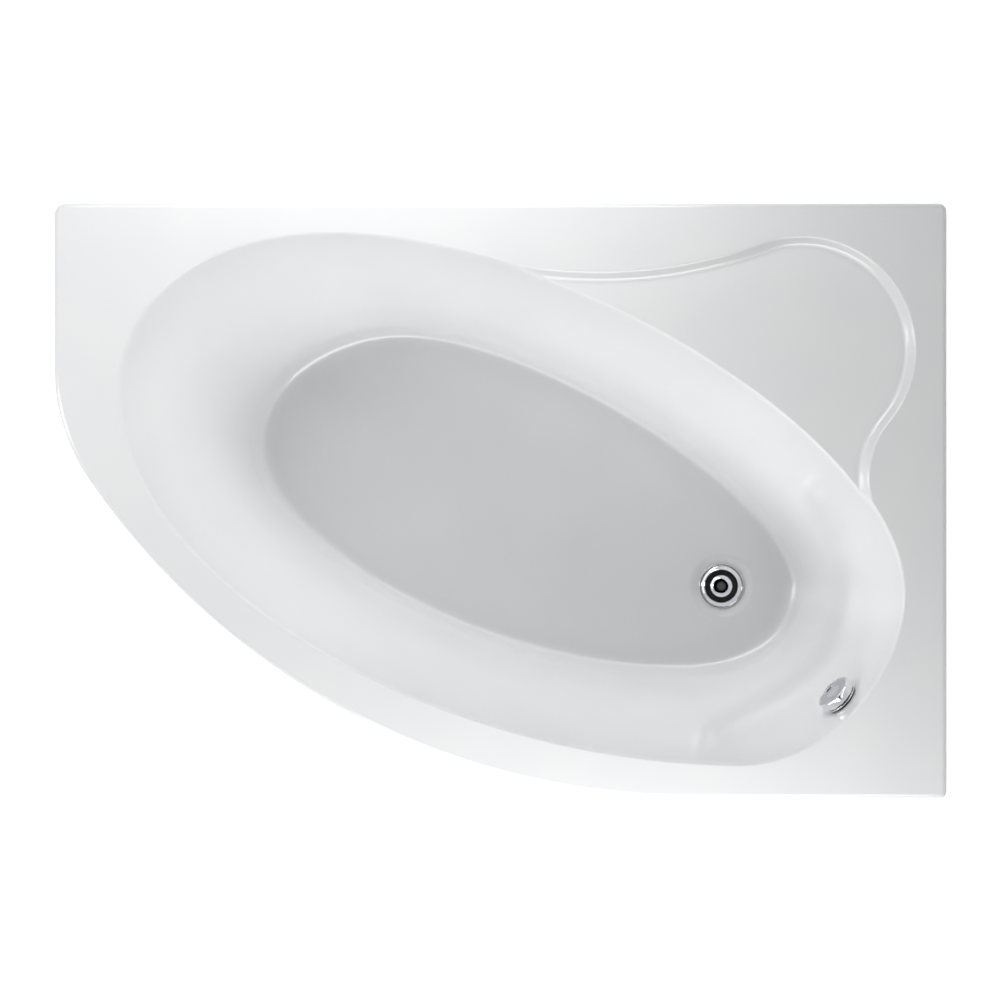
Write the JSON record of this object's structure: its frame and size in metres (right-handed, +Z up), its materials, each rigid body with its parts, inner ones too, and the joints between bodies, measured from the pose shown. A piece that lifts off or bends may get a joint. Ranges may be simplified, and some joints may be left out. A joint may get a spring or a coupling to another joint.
{
  "type": "corner bathtub",
  "caption": "Asymmetric corner bathtub with a curved front, an egg-shaped sunken basin, a recessed corner shelf, a floor waste with lifting plug and a turning overflow knob.",
  "frame": {"origin": "on the floor under the middle of the footprint", "axes": "+X along the back wall to the right, +Y towards the back wall, +Z up"},
  "size_m": [1.5, 1, 0.57],
  "materials": {
    "acrylic": "gloss white acrylic",
    "glass_fibre": "rough resin with glass strands",
    "chipboard": "raw chipboard",
    "timber": "sawn softwood",
    "galvanised_steel": "galvanised",
    "zinc_steel": "zinc plated",
    "stainless": "bright",
    "foot_plastic": "moulded black",
    "magnet": "dark plated",
    "chrome": "polished",
    "satin_chrome": "satin",
    "black_rubber": "smooth",
    "white_plastic": "moulded white",
    "hose_plastic": "moulded pale grey",
    "cable_plastic": "black sleeve"
  },
  "bodies": {
    "bath": {"bath_shell": "acrylic", "glass_fibre_backing": "glass_fibre", "base_board": "chipboard", "back_batten": "timber", "right_batten": "timber", "front_batten": "timber", "shelf_pad": "timber", "rail_left": "galvanised_steel", "rail_right": "galvanised_steel", "rail_screws": "zinc_steel", "lock_nuts": "zinc_steel", "corner_post": "galvanised_steel", "post_screws": "zinc_steel", "post_insert": "foot_plastic", "wall_bracket_back_left": "galvanised_steel", "wall_bracket_back_right": "galvanised_steel", "wall_bracket_right": "galvanised_steel", "apron_brackets": "galvanised_steel", "apron_magnets": "magnet", "bracket_screws": "zinc_steel", "waste_flange": "chrome", "waste_washer": "black_rubber", "waste_gasket": "black_rubber", "lever_pin": "zinc_steel", "waste_body": "white_plastic", "overflow_seal": "black_rubber", "overflow_face": "chrome", "face_screws": "stainless", "overflow_gasket": "black_rubber", "overflow_cup": "white_plastic", "overflow_hose": "hose_plastic", "control_cable": "cable_plastic", "trap_seal": "black_rubber", "trap_nut": "white_plastic", "trap_body": "white_plastic", "trap_cap": "white_plastic", "outlet_pipe": "white_plastic", "outlet_seal": "black_rubber", "outlet_nut": "white_plastic"},
    "knob": {"overflow_knob": "chrome", "knob_face": "satin_chrome", "knob_grub_screw": "zinc_steel", "knob_spindle": "stainless"},
    "plug": {"plug_cap": "chrome", "plug_seal": "black_rubber", "plug_stem": "stainless"},
    "lever": {"lift_lever": "white_plastic"},
    "apron": {"apron_panel": "acrylic", "catch_plates": "galvanised_steel"},
    "leg_left_front": {"foot_left_front": "foot_plastic", "stud_left_front": "zinc_steel"},
    "leg_left_back": {"foot_left_back": "foot_plastic", "stud_left_back": "zinc_steel"},
    "leg_right_front": {"foot_right_front": "foot_plastic", "stud_right_front": "zinc_steel"},
    "leg_right_back": {"foot_right_back": "foot_plastic", "stud_right_back": "zinc_steel"},
    "leg_corner": {"foot_corner": "foot_plastic", "stud_corner": "zinc_steel"}
  },
  "joints": [
    {"name": "knob_turn", "type": "hinge", "parent": "bath", "child": "knob", "pos_m": [0.57511, -0.33561, 0.506], "axis": [-0.6747, 0.6368, 0.3732], "range_deg": [0, 90]},
    {"name": "plug_lift", "type": "slide", "parent": "bath", "child": "plug", "axis": [0, 0, 1], "range_m": [0, 0.01]},
    {"name": "lever_lift", "type": "hinge", "parent": "bath", "child": "lever", "pos_m": [0.35906, -0.12983, 0.098], "axis": [-0.6894, -0.7244, 0], "range_deg": [0, 26]},
    {"name": "leg_height_left_front", "type": "slide", "parent": "bath", "child": "leg_left_front", "axis": [0, 0, -1], "range_m": [-0.02, 0.015]},
    {"name": "leg_height_left_back", "type": "slide", "parent": "bath", "child": "leg_left_back", "axis": [0, 0, -1], "range_m": [-0.02, 0.015]},
    {"name": "leg_height_right_front", "type": "slide", "parent": "bath", "child": "leg_right_front", "axis": [0, 0, -1], "range_m": [-0.02, 0.015]},
    {"name": "leg_height_right_back", "type": "slide", "parent": "bath", "child": "leg_right_back", "axis": [0, 0, -1], "range_m": [-0.02, 0.015]},
    {"name": "leg_height_corner", "type": "slide", "parent": "bath", "child": "leg_corner", "axis": [0, 0, -1], "range_m": [-0.02, 0.015]},
    {"name": "apron_pull_off", "type": "slide", "parent": "bath", "child": "apron", "axis": [-0.5708, -0.8211, 0], "range_m": [0, 0.25]}
  ],
  "couplings": [
    {"joint": "plug_lift", "follows": "knob_turn", "m_per_rad": 0.00636},
    {"joint": "lever_lift", "follows": "knob_turn", "ratio": 0.2833}
  ]
}
